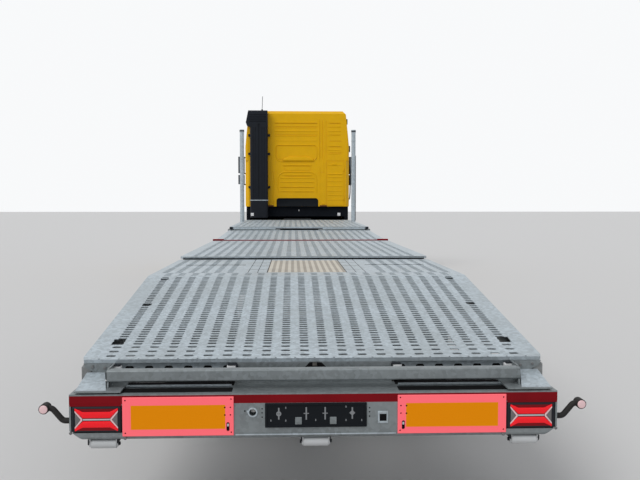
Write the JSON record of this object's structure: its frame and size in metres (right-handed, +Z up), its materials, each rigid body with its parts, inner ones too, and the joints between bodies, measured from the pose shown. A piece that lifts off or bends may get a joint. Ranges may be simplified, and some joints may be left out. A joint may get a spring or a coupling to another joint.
{
  "type": "articulated vehicle transporter lorry",
  "caption": "Two-axle tractor with a high-roof sleeper cab, coupled to a low-deck semi-trailer with a perforated stepped loading deck, tail ramp slots and a raised neck.",
  "frame": {"origin": "ground level under the middle of the whole lorry's length and width", "axes": "+Y forward, +X to the lorry's right, +Z up"},
  "size_m": [3.08, 16.5, 4.1902],
  "materials": {
    "galvanised": "galvanised, matt spangle",
    "beige_plate": "matt",
    "dark_red_paint": "satin",
    "marker_board": "reflective sheet",
    "lamp_red": "gloss lens in a black surround",
    "lamp_clear": "clear lens",
    "black_plastic": "matt",
    "dark_plastic": "grained",
    "black_rubber": "matt",
    "roller_white": "matt",
    "aluminium": "satin",
    "chassis_grey": "satin",
    "engine_iron": "matt",
    "black_steel": "greased",
    "yellow_paint": "gloss",
    "window_glass": "tinted",
    "seat_fabric": "woven",
    "tyre_rubber": "matt",
    "wheel_grey": "satin"
  },
  "bodies": {
    "trailer": {"trailer_frame": "galvanised", "tail_deck": "galvanised", "flat_deck": "galvanised", "deck_insert": "beige_plate", "raised_deck": "galvanised", "front_deck": "galvanised", "neck_deck": "galvanised", "red_strips": "dark_red_paint", "rear_beam": "galvanised", "cross_tube": "galvanised", "marker_boards": "marker_board", "tail_lamps": "lamp_red", "plate_holder": "black_plastic", "lamp_arms": "black_rubber", "rollers": "roller_white", "posts": "galvanised", "side_guards": "aluminium", "landing_legs": "galvanised", "trailer_axles": "chassis_grey", "trailer_mudguards": "black_plastic"},
    "tractor": {"tractor_frame": "chassis_grey", "engine_block": "engine_iron", "fifth_wheel": "black_steel", "rear_axle": "chassis_grey", "front_axle": "chassis_grey", "side_tanks": "aluminium", "steps_and_mudguards": "black_plastic", "bumper": "yellow_paint", "headlamps": "lamp_clear"},
    "cab": {"cab_shell": "yellow_paint", "windscreen": "window_glass", "cab_floor": "chassis_grey", "grille": "black_plastic", "sun_visor": "black_plastic", "air_intake": "black_plastic", "rod_aerial": "black_plastic", "dashboard": "dark_plastic", "seats_and_bunk": "seat_fabric"},
    "door_left": {"door_left": "yellow_paint", "mirror_left": "black_plastic"},
    "knuckle_left": {"knuckle_left": "chassis_grey"},
    "door_right": {"door_right": "yellow_paint", "mirror_right": "black_plastic"},
    "knuckle_right": {"knuckle_right": "chassis_grey"},
    "wheel_front_left": {"tyre_front_left": "tyre_rubber", "rim_front_left": "wheel_grey"},
    "wheel_front_right": {"tyre_front_right": "tyre_rubber", "rim_front_right": "wheel_grey"},
    "wheels_drive_left": {"tyres_drive_left": "tyre_rubber", "rims_drive_left": "wheel_grey"},
    "wheels_drive_right": {"tyres_drive_right": "tyre_rubber", "rims_drive_right": "wheel_grey"},
    "wheels_trailer_rear_left": {"tyres_trailer_rear_left": "tyre_rubber", "rims_trailer_rear_left": "wheel_grey"},
    "wheels_trailer_rear_right": {"tyres_trailer_rear_right": "tyre_rubber", "rims_trailer_rear_right": "wheel_grey"},
    "wheels_trailer_front_left": {"tyres_trailer_front_left": "tyre_rubber", "rims_trailer_front_left": "wheel_grey"},
    "wheels_trailer_front_right": {"tyres_trailer_front_right": "tyre_rubber", "rims_trailer_front_right": "wheel_grey"}
  },
  "joints": [
    {"name": "kingpin_yaw", "type": "hinge", "parent": "trailer", "child": "tractor", "pos_m": [0, 3.75, 1.13], "axis": [0, 0, 1], "range_deg": [-90, 90]},
    {"name": "cab_tilt", "type": "hinge", "parent": "tractor", "child": "cab", "pos_m": [0, 8.13, 0.92], "axis": [-1, 0, 0], "range_deg": [0, 60]},
    {"name": "door_left_hinge", "type": "hinge", "parent": "cab", "child": "door_left", "pos_m": [-1.258, 8.036, 1.525], "axis": [0, 0, -1], "range_deg": [0, 75]},
    {"name": "door_right_hinge", "type": "hinge", "parent": "cab", "child": "door_right", "pos_m": [1.258, 8.036, 1.525], "axis": [0, 0, 1], "range_deg": [0, 75]},
    {"name": "steer_right", "type": "hinge", "parent": "tractor", "child": "knuckle_right", "pos_m": [0.86, 6.85, 0.5], "axis": [0, 0, 1], "range_deg": [-40, 40]},
    {"name": "steer_left", "type": "hinge", "parent": "tractor", "child": "knuckle_left", "pos_m": [-0.86, 6.85, 0.5], "axis": [0, 0, 1], "range_deg": [-40, 40]},
    {"name": "spin_front_left", "type": "hinge", "parent": "knuckle_left", "child": "wheel_front_left", "pos_m": [-1.03, 6.85, 0.5], "axis": [1, 0, 0], "continuous": true},
    {"name": "spin_front_right", "type": "hinge", "parent": "knuckle_right", "child": "wheel_front_right", "pos_m": [1.03, 6.85, 0.5], "axis": [1, 0, 0], "continuous": true},
    {"name": "spin_drive_left", "type": "hinge", "parent": "tractor", "child": "wheels_drive_left", "pos_m": [-0.93, 3.15, 0.5], "axis": [1, 0, 0], "continuous": true},
    {"name": "spin_drive_right", "type": "hinge", "parent": "tractor", "child": "wheels_drive_right", "pos_m": [0.93, 3.15, 0.5], "axis": [1, 0, 0], "continuous": true},
    {"name": "spin_trailer_rear_left", "type": "hinge", "parent": "trailer", "child": "wheels_trailer_rear_left", "pos_m": [-0.985, -5.25, 0.398], "axis": [1, 0, 0], "continuous": true},
    {"name": "spin_trailer_rear_right", "type": "hinge", "parent": "trailer", "child": "wheels_trailer_rear_right", "pos_m": [0.985, -5.25, 0.398], "axis": [1, 0, 0], "continuous": true},
    {"name": "spin_trailer_front_left", "type": "hinge", "parent": "trailer", "child": "wheels_trailer_front_left", "pos_m": [-0.985, -3.94, 0.398], "axis": [1, 0, 0], "continuous": true},
    {"name": "spin_trailer_front_right", "type": "hinge", "parent": "trailer", "child": "wheels_trailer_front_right", "pos_m": [0.985, -3.94, 0.398], "axis": [1, 0, 0], "continuous": true}
  ],
  "couplings": [
    {"joint": "steer_left", "follows": "steer_right", "ratio": 1}
  ]
}
